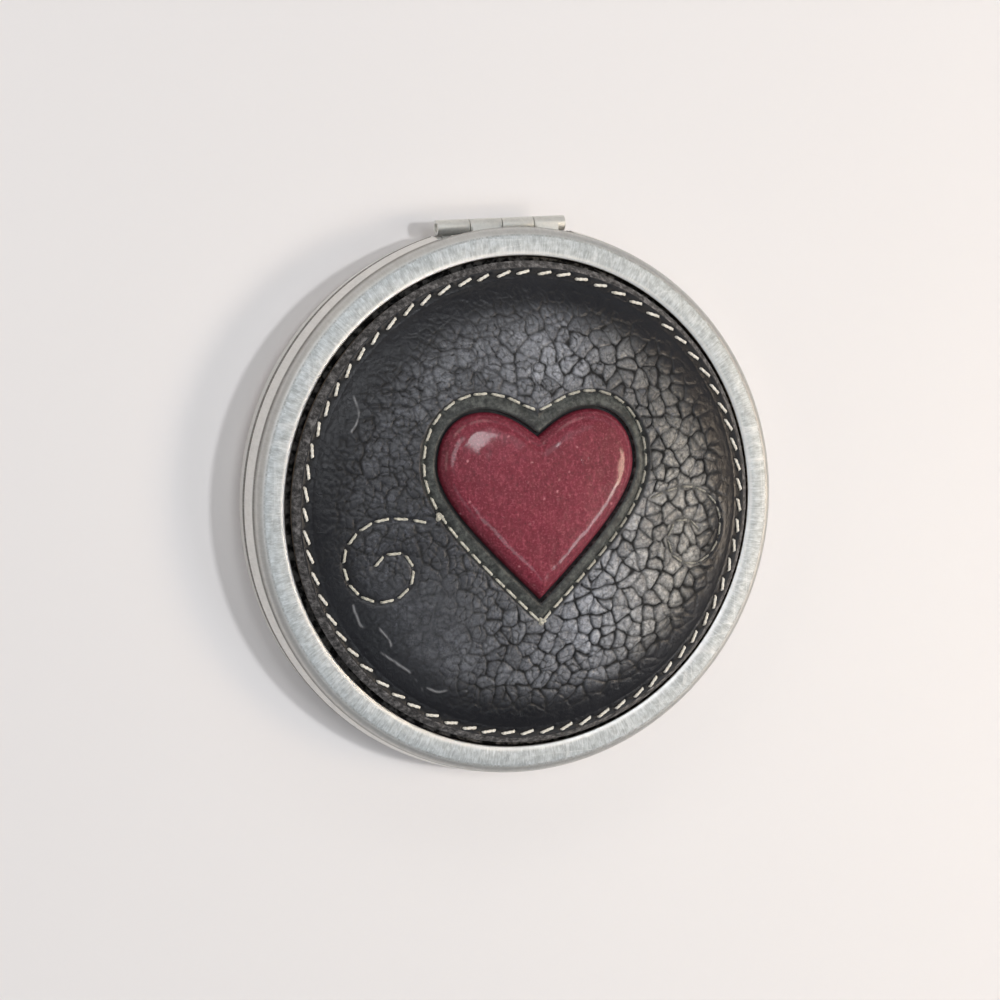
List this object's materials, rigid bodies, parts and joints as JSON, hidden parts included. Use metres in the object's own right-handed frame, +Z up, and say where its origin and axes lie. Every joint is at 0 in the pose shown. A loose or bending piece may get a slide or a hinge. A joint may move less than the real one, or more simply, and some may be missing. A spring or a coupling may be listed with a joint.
{
  "type": "compact mirror",
  "caption": "Round hinged pocket compact with a mirror in the lid and a magnifying mirror in the base; padded, stitched leather lid panel with a heart inlay.",
  "frame": {"origin": "centre of the base's underside, on the axis of the round case, where it rests", "axes": "+Z up through the lid, +Y towards the hinge, +X to the right seen from above with the hinge at the top"},
  "size_m": [0.07, 0.0707, 0.0148],
  "materials": {
    "case_metal": "fine brushed satin with a polished inner edge",
    "bezel_metal": "spun satin",
    "hinge_steel": "satin nickel plate",
    "magnet_plating": "nickel plate",
    "mirror_glass": "silvered glass",
    "foam_tape": "closed-cell adhesive foam",
    "adhesive_film": "clear adhesive film",
    "board": "pressed fibre board",
    "padding": "charcoal wadding",
    "black_leather": "pebbled, semi-gloss, grey cut edge",
    "red_leather": "glossy lacquered burgundy",
    "thread": "cream waxed thread"
  },
  "bodies": {
    "base": {"base_shell": "case_metal", "base_mirror_pad": "foam_tape", "base_mirror": "mirror_glass", "base_bezel": "bezel_metal", "base_hinge_leaf": "hinge_steel", "base_hinge_rivets": "hinge_steel", "hinge_pin": "hinge_steel", "base_magnet": "magnet_plating"},
    "lid": {"lid_shell": "case_metal", "lid_mirror_pad": "foam_tape", "lid_mirror": "mirror_glass", "lid_bezel": "bezel_metal", "lid_hinge_leaf": "hinge_steel", "lid_hinge_rivets": "hinge_steel", "lid_magnet": "magnet_plating", "panel_adhesive": "adhesive_film", "backing_board": "board", "foam_padding": "padding", "leather_panel": "black_leather", "heart_padding": "padding", "heart_inlay": "red_leather", "border_stitching": "thread", "heart_stitching": "thread", "left_curl_stitching": "thread", "right_curl_stitching": "thread"}
  },
  "joints": [
    {"name": "lid_hinge", "type": "hinge", "parent": "base", "child": "lid", "pos_m": [0, 0.0348, 0.004], "axis": [-1, 0, 0], "range_deg": [0, 160]}
  ]
}
